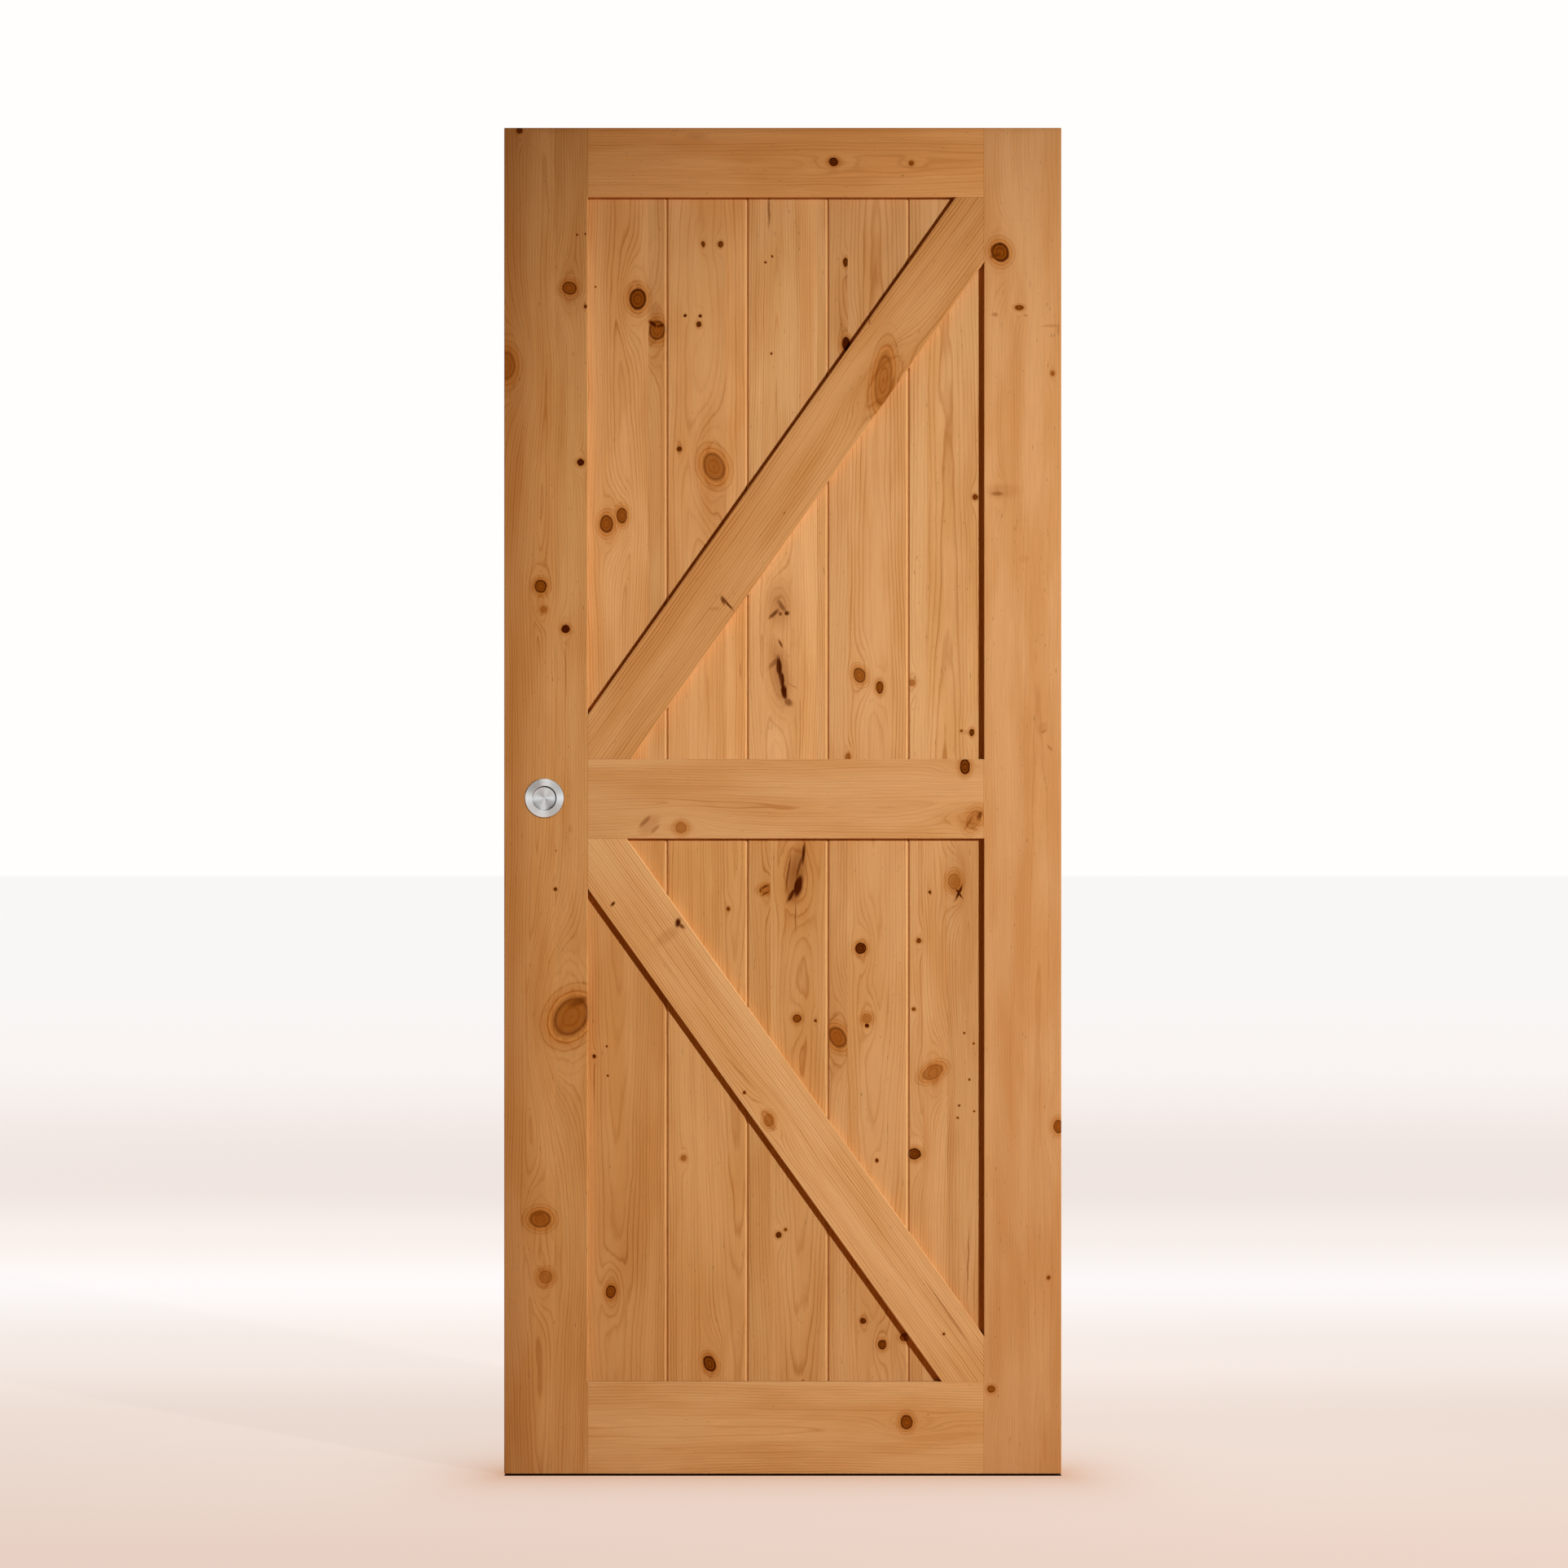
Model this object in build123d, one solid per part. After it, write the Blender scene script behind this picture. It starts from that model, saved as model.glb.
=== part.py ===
from build123d import *
import math
import os

# Plank door with K braces, built from stiles and rails and the same on both faces.
# Millimetres. X runs to the right seen from the front, -Y faces the viewer, +Z is up.
# The origin is the middle of the top edge, where the door hangs from its hangers.

# Whole door
door_width = 914.0
door_height = 2208.0
door_thickness = 44.4

# Frame members
pull_stile_width = 137.0  # the stile that carries the pulls, on the left
far_stile_width = 127.0
top_rail_height = 114.0
mid_rail_height = 130.5
bottom_rail_height = 151.0
upper_field_height = 921.5  # clear height between the top rail and the mid rail

# Vertical tongue and groove planks
plank_thickness = 19.0
first_plank_width = 129.0  # the plank beside the pull stile, up to its joint
plank_cover = 132.2  # width of the others from joint to joint
plank_least = 40.0  # a narrower remainder stays on the plank beside it
vee_leg = 3.2  # chamfer at each plank joint, on both faces
tongue_length = 8.0
tongue_thickness = 6.0
tongue_fit = 0.2  # clearance of a tongue on each side and at its tip

# Diagonal braces. A drop is how far below the corner of the field
# the centre line of a brace meets the stile.
brace_width = 100.0
upper_brace_foot_drop = 13.7
upper_brace_head_drop = 20.4
lower_brace_head_drop = -3.2
lower_brace_foot_drop = 11.1

# Joints of the frame
plough_depth = 12.0  # groove round each field, which holds the planks
plough_fit = 0.15  # clearance of a plank or a tenon on each face
plank_rise = 2.0  # room left for the planks to swell sideways and upwards
tenon_length = 45.0
tenon_set_in = 30.0  # from the ends of the door to the tenons of the outer rails
tenon_fit = 0.3  # clearance above, below and beyond a tenon
arris = 1.2  # rounding of the outer edges of the door
eased_edge = 1.5  # rounding of the edges round each opening, in flats
eased_flats = 3

# Round flush pulls
pull_inset = 66.0  # from the edge of the door to the middle of the pull
pull_rise = 1.3  # above the middle of the mid rail
pull_diameter = 63.5
pull_opening = 40.0
pull_wall = 1.2
pull_depth = 10.5  # from the face of the stile to the floor of the cup
pull_rim = 1.2  # thickness of the flange at its outer edge
pull_lip = 1.7  # thickness of the flange at the opening
pull_edge_ease = 0.6  # flat that breaks the edges of the flange
pull_floor_round = 2.0
pull_fit = 0.2  # clearance of the cup in its pocket

# Places worked out from those sizes
half_thickness = door_thickness / 2
half_plank = plank_thickness / 2
half_plough = half_plank + plough_fit
door_left = -door_width / 2
door_right = door_width / 2
door_bottom = -door_height
field_left = door_left + pull_stile_width
field_right = door_right - far_stile_width
upper_top = -top_rail_height
upper_bottom = upper_top - upper_field_height
lower_top = upper_bottom - mid_rail_height
lower_bottom = door_bottom + bottom_rail_height
pull_x = door_left + pull_inset
pull_z = (upper_bottom + lower_top) / 2 + pull_rise
cup_radius = pull_opening / 2 + pull_wall

# Bottom and top of each field, and the centre line of its brace at the left and right stile
upper_field = (
    upper_bottom,
    upper_top,
    upper_bottom - upper_brace_foot_drop,
    upper_top - upper_brace_head_drop,
)
lower_field = (
    lower_bottom,
    lower_top,
    lower_top - lower_brace_head_drop,
    lower_bottom - lower_brace_foot_drop,
)

# Bottom and top of the tenons of each rail
top_tenon = (upper_top + plough_depth, -tenon_set_in)
mid_tenon = (lower_top + plough_depth, upper_bottom - plough_depth)
bottom_tenon = (door_bottom + tenon_set_in, lower_bottom - plough_depth)


def block(x_from, x_to, half_depth, z_from, z_to):
    """Rectangular solid between two corners, centred on the door's thickness."""
    middle = Pos((x_from + x_to) / 2, 0, (z_from + z_to) / 2)
    return middle * Box(abs(x_to - x_from), 2 * half_depth, z_to - z_from)


def stile(x_outer, x_inner):
    """Full height upright, ploughed and mortised on its inner edge."""
    inward = math.copysign(1, x_inner - x_outer)
    board = block(x_outer, x_inner, half_thickness, door_bottom, 0)
    shown = [edge for edge in board.edges() if abs(edge.center().X - x_inner) > arris]
    board = fillet(shown, arris)
    plough_floor = x_inner - inward * plough_depth
    board -= block(x_inner, plough_floor, half_plough, door_bottom, 0)
    mortise_floor = x_inner - inward * (tenon_length + tenon_fit)
    for z_from, z_to in (top_tenon, mid_tenon, bottom_tenon):
        z_range = (z_from - tenon_fit, z_to + tenon_fit)
        board -= block(x_inner, mortise_floor, half_plough, *z_range)
    return board


def rail(z_bottom, z_top, tenon, ploughed_below, ploughed_above):
    """Cross member, with ends that fill the ploughs of the stiles and their mortises."""
    board = block(field_left, field_right, half_thickness, z_bottom, z_top)
    along = board.edges().filter_by(Axis.X).group_by(Axis.Z)
    if not ploughed_below:
        board = fillet(along[0], arris)
    if not ploughed_above:
        board = fillet(along[-1], arris)
    core_bottom = z_bottom + (plough_depth if ploughed_below else 0)
    core_top = z_top - (plough_depth if ploughed_above else 0)
    if ploughed_below:
        board -= block(field_left, field_right, half_plough, z_bottom, core_bottom)
    if ploughed_above:
        board -= block(field_left, field_right, half_plough, core_top, z_top)
    for reach, z_range in (
        (plough_depth - tenon_fit, (core_bottom, core_top)),
        (tenon_length, tenon),
    ):
        board += block(field_left - reach, field_right + reach, half_plank, *z_range)
    return board


def plank_section(x_from, x_to, first, last):
    """Section of one plank, with a groove on its left edge and a tongue on its right."""
    bite = plough_depth - plank_rise
    left = x_from - (bite if first else 0)
    right = x_to + (bite if last else 0)
    section = Pos((left + right) / 2, 0) * Rectangle(right - left, plank_thickness)
    joined = [x for x, at_stile in ((left, first), (right, last)) if not at_stile]
    corners = [v for v in section.vertices() if any(abs(v.X - x) < 0.01 for x in joined)]
    if corners:
        section = chamfer(corners, vee_leg)
    if not first:
        slot_depth = tongue_length + tongue_fit
        section -= Pos(left, 0) * Rectangle(2 * slot_depth, tongue_thickness + 2 * tongue_fit)
    if not last:
        section += Pos(right, 0) * Rectangle(2 * tongue_length, tongue_thickness)
    return section


def planks(z_bottom, z_top):
    """The planks of one field, which stand on the floor of the plough below them."""
    first_joint = field_left + first_plank_width
    count = max(1, math.ceil((field_right - first_joint - plank_least) / plank_cover))
    inner_joints = [first_joint + plank_cover * i for i in range(count)]
    joints = [field_left, *inner_joints, field_right]
    foot = z_bottom - plough_depth
    head = z_top + plough_depth - plank_rise
    made = []
    for i in range(count + 1):
        section = plank_section(joints[i], joints[i + 1], i == 0, i == count)
        made.append(Pos(0, 0, foot) * extrude(section, head - foot))
    return made


def brace_outline(z_left, z_right):
    """Outline of a brace seen from the front, longer than its field at both ends."""
    width, rise = field_right - field_left, z_right - z_left
    turn = Rot(0, 0, math.degrees(math.atan2(rise, width)))
    middle = Pos((field_left + field_right) / 2, (z_left + z_right) / 2)
    return middle * turn * Rectangle(math.hypot(width, rise) + 4 * brace_width, brace_width)


def field_outline(z_bottom, z_top):
    """Outline of a field seen from the front."""
    middle = Pos((field_left + field_right) / 2, (z_bottom + z_top) / 2)
    return middle * Rectangle(field_right - field_left, z_top - z_bottom)


def brace(field, face):
    """Diagonal board on the planks, cut to fit the corners of its field."""
    z_bottom, z_top, z_left, z_right = field
    outline = brace_outline(z_left, z_right) & field_outline(z_bottom, z_top)
    board = Pos(0, 0, half_plank) * extrude(outline, half_thickness - half_plank)
    return place_on(face, board)


def eased_mouths(field, face):
    """Cutters that round the edges of the openings which a brace leaves in its field."""
    z_bottom, z_top, z_left, z_right = field
    open_area = field_outline(z_bottom, z_top) - brace_outline(z_left, z_right)
    cutters = []
    for opening in open_area.faces():
        sections = []
        for step in range(eased_flats + 1):
            angle = math.radians(90 * step / eased_flats)
            outward = eased_edge * (1 - math.cos(angle))
            height = half_thickness - eased_edge * (1 - math.sin(angle))
            grown = offset(opening, outward, kind=Kind.INTERSECTION) if step else opening
            sections.append(Pos(0, 0, height) * grown.face())
        sections.append(Pos(0, 0, eased_edge) * sections[-1])
        cutters.append(place_on(face, loft(sections, ruled=True)))
    return cutters


def place_on(face, shape):
    """Stands up a shape drawn flat, with its top towards the front or the back."""
    shape = Plane.XZ * shape
    return shape if face < 0 else mirror(shape, Plane.XZ)


def pull_pocket(face):
    """Round pocket in one face of the stile, a little larger than the cup."""
    depth = pull_depth + pull_wall + pull_fit
    tool = Rot(90, 0, 0) * Cylinder(cup_radius + pull_fit, 2 * depth)
    return Pos(pull_x, face * half_thickness, pull_z) * tool


def pull(face):
    """Flush pull turned in one piece, a cup whose flange lies on the stile."""
    opening = pull_opening / 2
    rim = pull_diameter / 2
    under = -pull_depth - pull_wall
    edge = pull_edge_ease
    outline = Polyline(
        (0, -pull_depth),
        (opening, -pull_depth),
        (opening, pull_lip - edge),
        (opening + edge, pull_lip),
        (rim - edge, pull_rim),
        (rim, pull_rim - edge),
        (rim, 0),
        (cup_radius, 0),
        (cup_radius, under),
        (0, under),
        close=True,
    )
    section = make_face(outline)
    floor_corner = section.vertices().sort_by_distance(Vertex(opening, -pull_depth, 0))[0]
    section = fillet(floor_corner, pull_floor_round)
    cup = revolve(section, Axis.Y)
    turn = Rot(0 if face > 0 else 180, 0, 0)
    return Pos(pull_x, face * half_thickness, pull_z) * turn * cup


FACES = {"front": -1, "back": 1}

parts = {}
parts["left_stile"] = stile(door_left, field_left)
parts["right_stile"] = stile(door_right, field_right)
parts["top_rail"] = rail(upper_top, 0, top_tenon, True, False)
parts["mid_rail"] = rail(lower_top, upper_bottom, mid_tenon, True, True)
parts["bottom_rail"] = rail(door_bottom, lower_bottom, bottom_tenon, False, True)

for number, plank in enumerate(planks(upper_bottom, upper_top), 1):
    parts[f"upper_plank_{number}"] = plank
for number, plank in enumerate(planks(lower_bottom, lower_top), 1):
    parts[f"lower_plank_{number}"] = plank

for side, face in FACES.items():
    parts[f"upper_brace_{side}"] = brace(upper_field, face)
    parts[f"lower_brace_{side}"] = brace(lower_field, face)
    parts["left_stile"] -= pull_pocket(face)
    parts[f"pull_{side}"] = pull(face)
    for field, names in (
        (upper_field, ("top_rail", "mid_rail", f"upper_brace_{side}")),
        (lower_field, ("mid_rail", "bottom_rail", f"lower_brace_{side}")),
    ):
        for cutter in eased_mouths(field, face):
            for name in ("left_stile", "right_stile", *names):
                parts[name] -= cutter

os.makedirs("parts", exist_ok=True)
for name, shape in parts.items():
    shape.label = name
    export_step(shape, f"parts/{name}.step")
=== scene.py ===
"""Timber finish, brushed pulls and a plain studio for the plank barn door."""

import math
from typing import NamedTuple

import bmesh
import bpy
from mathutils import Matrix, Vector


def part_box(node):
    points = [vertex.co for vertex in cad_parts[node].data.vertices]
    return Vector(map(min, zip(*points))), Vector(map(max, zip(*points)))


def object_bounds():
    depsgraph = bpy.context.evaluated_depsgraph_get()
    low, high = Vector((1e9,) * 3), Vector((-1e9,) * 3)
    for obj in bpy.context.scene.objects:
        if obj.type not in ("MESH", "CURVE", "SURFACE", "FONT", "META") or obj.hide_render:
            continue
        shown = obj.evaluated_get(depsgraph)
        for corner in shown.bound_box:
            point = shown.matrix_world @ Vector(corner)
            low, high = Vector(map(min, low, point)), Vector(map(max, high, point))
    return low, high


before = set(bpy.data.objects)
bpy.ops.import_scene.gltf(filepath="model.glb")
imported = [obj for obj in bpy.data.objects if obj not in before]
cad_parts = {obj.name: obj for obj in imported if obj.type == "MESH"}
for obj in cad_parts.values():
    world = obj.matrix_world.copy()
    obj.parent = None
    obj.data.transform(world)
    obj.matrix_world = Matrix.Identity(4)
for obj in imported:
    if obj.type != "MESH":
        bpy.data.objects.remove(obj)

bl_info = {
    "name": "Plank barn door finish",
    "version": (1, 0, 0),
    "blender": (4, 5, 0),
    "location": "3D View > Sidebar > Barn Door",
    "description": "Knotty pine for each board, brushed steel for the pulls, and the studio",
    "category": "Material",
}

cad_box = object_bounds()
MM = 1000.0  # the patterns are written in millimetres, the scene is in metres
ORIGIN = (0.0, 0.0, 0.0)
ON_FACE = (1.0, 0.0, 1.0)  # leaves out the depth
BEYOND = 5000.0  # further out than any edge of the door
THROUGH = 100000.0  # depth of a mark, which runs straight through its board
NO_KNOT = 100.0  # nearness where there is no knot
EYE_HEIGHT = -1076.4  # of the camera in mm, from the top edge
PLANK_SCALE = 1.0016  # marks are given as seen in the plane of the frame's face

# Grain directions, in degrees from the horizontal
UPRIGHT = 90.0
LEVEL = 0.0
UPPER_BRACE_GRAIN = 54.5
LOWER_BRACE_GRAIN = 125.8

# Noise per millimetre across, into and along the grain
OUTLINE = (0.09, 0.09, 0.06)
WANDER = (0.006, 0.006, 0.0016)
WOBBLE = (0.045, 0.045, 0.008)
BLOTCHES = (0.02, 0.02, 0.004)
FIBRES = (1.1, 1.1, 0.02)
FLECKS = (0.55, 0.55, 0.075)

# Knots, with distances in their own sizes
SWERVE_SHAPE = (0.87, 0.0, 0.36)  # the grain swerves further along itself than across
LIFT_FADE = -0.42
KNOT_RINGS = 15.0  # how fast the rings in and round a knot follow each other
RIM_AT = 0.93
PALE_RING_AT = 1.24

# What the colour of the wood is multiplied by
DENSE_YEARS = (0.94, 0.90, 0.85, 1)
WARM_BLOTCHES = (0.93, 0.86, 0.75, 1)
KNOT_HALO = (0.82, 0.66, 0.44, 1)


class Knot(NamedTuple):
    """A knot on a board, in millimetres seen from the front. Its tall axis leans to the right."""

    x: float
    z: float
    wide: float
    tall: float
    dark: float
    lean: float = 0.0
    swirl: float = 1.0
    left: float = -BEYOND
    right: float = BEYOND


class Streak(NamedTuple):
    """A streak, measured as a knot is: stains and cracks in the wood, and some bands of painted
    shade.
    """

    x: float
    z: float
    wide: float
    tall: float
    dark: float
    lean: float = 0.0


class Strip(NamedTuple):
    """From this place across the board another strip is glued on, with its own figure."""

    place: float
    tone: float
    turn: float


class Board(NamedTuple):
    """The figure of one board. The grain runs at an angle to the horizontal.

    Its marks and strips list what a Knot, a Streak or a Strip holds, in the same order.
    """

    grain: float
    tone: tuple
    pith: float
    depth: float
    taper: float
    spacing: float
    wander: float
    seed: float
    knots: tuple = ()
    streaks: tuple = ()
    strips: tuple = ()
    lines: float = 1.0
    joints: str = ""


def dot(x, z, size, dark):
    """A small round knot that the grain runs past."""
    return Knot(x, z, size, size, dark, swirl=0)


BOARDS = {
    "left_stile": Board(
        UPRIGHT, (0.94, 0.92, 0.82), -395, 34, 0.012, 4.2, 16, 1.7,
        knots=(
            (-432, -4, 5, 5, 0.9), (-350, -263, 12, 10.7, 0.5), (-323.5, -293, 2.7, 2.7, 0.8),
            (-454.5, -390, 16, 24, 0.25), (-331.5, -549, 6, 5.3, 0.95),
            (-397, -752, 10, 10.7, 0.6), (-392, -790, 5, 5, 0.2), (-356, -822, 6.7, 6.7, 0.95),
            (-373, -1249, 2.7, 2.7, 0.8),
            Knot(-347, -1458, 26.7, 34.8, 0.34, lean=35, right=-319),
            (-398, -1790, 17.4, 14.2, 0.38), (-389, -1885, 11, 11, 0.15),
            dot(-337, -175, 1.5, 0.8), dot(-324, -174.5, 1.5, 0.8),
        ),
        streaks=(
            # painted shade: the first streak darkens the outer edge of the stile
            (-478, -1100, 92, 2400, 0.36), (-356, -890, 2.4, 62, 0.35), (-349, -1150, 3, 8, 0.3),
            (-372, -1186, 2, 3, 0.6), (-398, -1835, 4, 34, 0.3), (-336, -1434, 9, 24, 0.75, 68),
            (-364, -1476, 6, 18, 0.4, 20), (-401, -1782, 5, 15, 0.6, 80),
            # painted shade along the top edge of the stile
            (-388, 3, 100, 14, 0.22),
        ),
        strips=((-374, 0.97, 3.1),),
    ),
    "right_stile": Board(
        UPRIGHT, (1.00, 1.02, 1.07), 420, 48, 0.01, 4.6, 18, 4.3,
        knots=(
            Knot(356.5, -204, 16, 14, 0.62, lean=70), (388, -295, 6.7, 4, 0.6),
            (442.5, -403, 3.4, 4, 0.4), (353, -600, 16, 6, -0.2), (452, -1638, 8, 11, 0.5),
            (436, -1886, 3, 3, 0.6), (342, -2069, 6, 6, 0.5),
        ),
        streaks=(
            (350, -209, 6, 13, 0.8, 68), (343, -200, 3, 9, 0.8, 5), (352, -600, 14, 5, 0.62),
            (360, -596, 34, 15, 0.2), (396, -707, 11, 8, 0.14), (426, -985, 10, 14, 0.2, 30),
            (428, -990, 2.4, 6, 0.5, 60), (438, -1017, 2.6, 9, 0.45, -38),
            (440, -325, 18, 3, 0.3), (452, -330, 3, 14, 0.3), (348, -306, 7, 4, 0.45),
            # painted shade: the last two streaks darken the lower end of the stile and its top
            # edge
            (398, -307.5, 4, 2.5, 0.4), (395, -2000, 260, 1100, 0.11), (393, 3, 100, 14, 0.15),
        ),
        lines=0.45,
    ),
    "top_rail": Board(
        LEVEL, (1.05, 0.99, 0.88), 60, 40, 0.015, 4.4, 16, 7.9,
        knots=((83.7, -56, 7.4, 6.7, 0.85), (211, -58, 4, 4, 0.5)),
        # painted shade: the second streak darkens the rail along its top edge
        streaks=((-142, -11, 22, 9, 0.2), (5, 3, 520, 15, 0.22)),
        lines=0.7, joints="ends",
    ),
    "mid_rail": Board(
        LEVEL, (0.97, 0.99, 1.01), 1112, 30, 0.02, 4.6, 22, 11.3,
        knots=(
            (-167, -1148, 9.4, 9.4, 0.15), (299, -1048, 8, 12, 0.74),
            Knot(313, -1135, 11, 17, -0.02, lean=30),
        ),
        streaks=(
            (-226, -1138, 5, 17, 0.62, 45), (-210, -1150, 4, 13, 0.5, 45),
            (-219, -1144, 15, 26, 0.25, 45), (323, -1128, 5, 10, 0.8, 20),
            (305, -1140, 3, 17, 0.6, 32), (314, -1150, 8, 3, 0.4, 20),
        ),
        lines=0.75, joints="ends",
    ),
    "bottom_rail": Board(
        LEVEL, (1.04, 1.10, 1.12), 2140, 36, 0.016, 4.8, 26, 17.1,
        knots=((203, -2123, 10, 12, 0.55),),
        lines=0.7, joints="ends",
    ),
    "upper_plank_1": Board(
        UPRIGHT, (1.09, 1.11, 1.10), -262, 30, 0.02, 4.2, 14, 21.9,
        knots=(
            (-238, -281, 13.4, 17.4, 0.6), Knot(-206, -332, 14, 16, 0.48, left=-220.6),
            (-289, -650, 10.7, 14.7, 0.5), (-264, -636, 8.7, 12.7, 0.5),
            dot(-307, -261, 1.5, 0.7),
        ),
        streaks=(
            (-213, -322, 5.4, 11, 1.0, -50), (-201, -325, 4.4, 10, 0.95, 76),
            (-209, -304, 11, 18, 0.3),
        ),
        strips=((-220.6, 0.90, 5.2),),
    ),
    "upper_plank_2": Board(
        UPRIGHT, (1.05, 1.06, 1.05), -130, 42, 0.014, 4.6, 16, 25.1,
        knots=(
            (-131, -191, 3, 4.4, 0.7), (-102, -191, 4, 4.7, 0.7), (-160, -308, 2.4, 2.4, 0.95),
            (-135, -309, 2.4, 2.4, 0.95), (-138, -323, 4, 4.7, 0.8), (-170, -527, 3.6, 3.6, 0.8),
            Knot(-113, -556, 17.4, 24, 0.28, lean=-20, swirl=1.2),
        ),
        streaks=((-69.5, -890, 1.2, 18, 0.5),),
        strips=((-93, 1.06, 2.4),),
    ),
    "upper_plank_3": Board(
        UPRIGHT, (1.08, 1.15, 1.22), -10, 24, 0.03, 4.2, 14, 29.4,
        knots=(
            dot(-17, -211, 1.6, 0.8), dot(-28, -221, 1.6, 0.8), dot(-19, -370, 1.8, 0.8),
            Knot(-3, -905, 10, 44, -0.2, lean=-6, swirl=1.4),
            Knot(-4, -790, 12, 20, -0.2, swirl=1.6),
        ),
        streaks=(
            (-22.7, -136, 3, 34, 0.7), (-14, -797, 5, 16, 0.85, 46), (7, -796, 6, 6, 0.95),
            (-4, -797, 5, 5, 0.8), (-2, -784, 5, 19, 0.75, -33), (-6, -785, 24, 46, 0.3),
            (-8, -775, 2.6, 17, 0.5, 24), (-4, -846, 2.8, 11, 0.85, -28),
            (-4, -896, 20, 66, 0.42, -8), (-6, -884, 7.4, 27, 1.0, -7),
            (-2, -904, 6.4, 24, 1.0, -8), (2, -924, 7, 22, 1.0, -9), (9, -942, 8, 11, 0.75, -48),
            (-14, -877, 6, 18, 0.7, 40), (14, -914, 1.4, 15, 0.5, -60),
        ),
        strips=((29.4, 1.05, 6.6), (56.3, 0.97, 1.3)),
    ),
    "upper_plank_4": Board(
        UPRIGHT, (0.98, 1.01, 1.04), 150, 46, 0.014, 4.6, 16, 33.8,
        knots=(
            Knot(103, -221, 4, 7.4, 0.8, right=107), (104, -354, 6.7, 10.7, 0.95),
            Knot(126, -898, 9.4, 12.7, 0.45, lean=-20), (159, -918, 6, 10, 0.6),
            (107, -1032, 4, 6, 0.4),
        ),
        streaks=((104, -250, 1.6, 26, 0.4),),
        strips=((106.9, 1.03, 4.7),),
    ),
    "upper_plank_5": Board(
        UPRIGHT, (1.03, 1.10, 1.16), 268, 50, 0.012, 4.8, 16, 37.2,
        knots=(
            (315.5, -606, 4.4, 4.4, 0.7), (212, -910, 5.3, 5.3, 0.25), (310, -992, 4, 6, 0.8),
            dot(293, -989, 1.8, 0.7),
        ),
        streaks=((300, -992, 13, 5, 0.22),),
        strips=((237.3, 1.03, 8.1),),
    ),
    "lower_plank_1": Board(
        UPRIGHT, (0.90, 0.86, 0.75), -272, 26, 0.03, 4.2, 14, 41.6,
        knots=(
            (-309.5, -1523, 2.9, 2.9, 0.9), dot(-289, -1507, 1.6, 0.8),
            dot(-287, -1555, 1.6, 0.8), Knot(-282, -1909, 8, 10.7, 0.6, swirl=1.5),
        ),
        streaks=((-309.5, -1562, 1.6, 44, 0.5),),
    ),
    "lower_plank_2": Board(
        UPRIGHT, (0.97, 0.98, 0.92), -78, 30, 0.03, 4.4, 14, 45.3,
        knots=(
            (-89, -1281, 3, 3, 0.7), (-163, -1690, 4.7, 4.7, 0.3),
            Knot(-120, -2027, 9.4, 13.4, 0.7, lean=-25),
        ),
    ),
    "lower_plank_3": Board(
        UPRIGHT, (0.91, 0.92, 0.87), 28, 28, 0.03, 4.4, 14, 49.9,
        knots=(
            Knot(-28, -1250, 10.7, 7, 0.1, right=-20), Knot(22, -1224, 16, 50, -0.2, lean=10),
            (23, -1461, 6.7, 6.7, 0.6), (53.5, -1465, 2.3, 2.3, 0.8), (-7, -1816, 4.7, 4.7, 0.8),
            dot(4, -1807, 2.6, 0.6), dot(33, -2056, 2, 0.6),
        ),
        streaks=(
            (-29, -1245, 2.4, 11, 0.9, 62), (-29, -1256, 2.2, 10, 0.85, 64),
            (-37, -1251, 2.4, 5, 0.8, 10), (22, -1224, 20, 62, 0.6, 9),
            (25, -1244, 11, 30, 1.0, 13), (14, -1258, 5, 20, 0.95, 26),
            (34, -1192, 4, 30, 0.95, 4), (27, -1212, 4, 34, 0.85, 16), (9, -1222, 3, 44, 0.8, 8),
            (21, -1292, 1.6, 34, 0.6),
        ),
        strips=((-20, 1.03, 3.9),),
    ),
    "lower_plank_4": Board(
        UPRIGHT, (0.93, 0.95, 0.95), 150, 30, 0.03, 4.4, 14, 53.2,
        knots=(
            (128, -1346, 8.7, 8.7, 0.84), Knot(90, -1492, 13.4, 18.7, 0.4, lean=-30, right=106),
            (138, -1461, 8, 8, 0.1), dot(138, -1473, 3.4, 0.9), (154, -1694, 2.9, 2.9, 0.8),
            (132, -1957, 4.7, 4.7, 0.8), (163, -1996, 6.7, 8, 0.7), (200, -1984, 8, 6.7, 0.6),
        ),
        strips=((106, 1.03, 7.7),),
    ),
    "lower_plank_5": Board(
        UPRIGHT, (0.97, 1.00, 1.03), 300, 34, 0.02, 4.4, 14, 57.4,
        knots=(
            Knot(281, -1236, 10, 13, 0.12, swirl=2.2), (241, -1254, 2.3, 2.3, 0.8),
            (223, -1333.5, 4, 4, 0.7), (215, -1446, 3, 3, 0.6),
            Knot(246, -1549, 11, 18, 0.15, lean=60, swirl=1.3), (216, -1683, 10.7, 8.7, 0.75),
            dot(298, -1485, 1.6, 0.7), dot(313, -1502, 1.6, 0.7), dot(306, -1561, 1.8, 0.7),
            dot(289, -1604, 1.6, 0.7), dot(314, -1613.5, 1.6, 0.7), dot(287, -1624, 1.6, 0.7),
        ),
        streaks=(
            (289, -1254, 3.6, 19, 1.0, 25), (289, -1256, 2.8, 14, 1.0, -37),
            (286, -1246, 12, 22, 0.25), (304, -1859, 1.6, 78, 0.6, 1.5),
        ),
        strips=((229.9, 1.02, 2.9), (270, 0.98, 9.3)),
    ),
    "upper_brace_front": Board(
        UPPER_BRACE_GRAIN, (0.94, 0.92, 0.85), -130, 16, 0.01, 5.2, 5, 61.8,
        knots=(Knot(165, -414, 14, 44, 0.08, lean=6, swirl=0.9),),
        streaks=(
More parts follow.
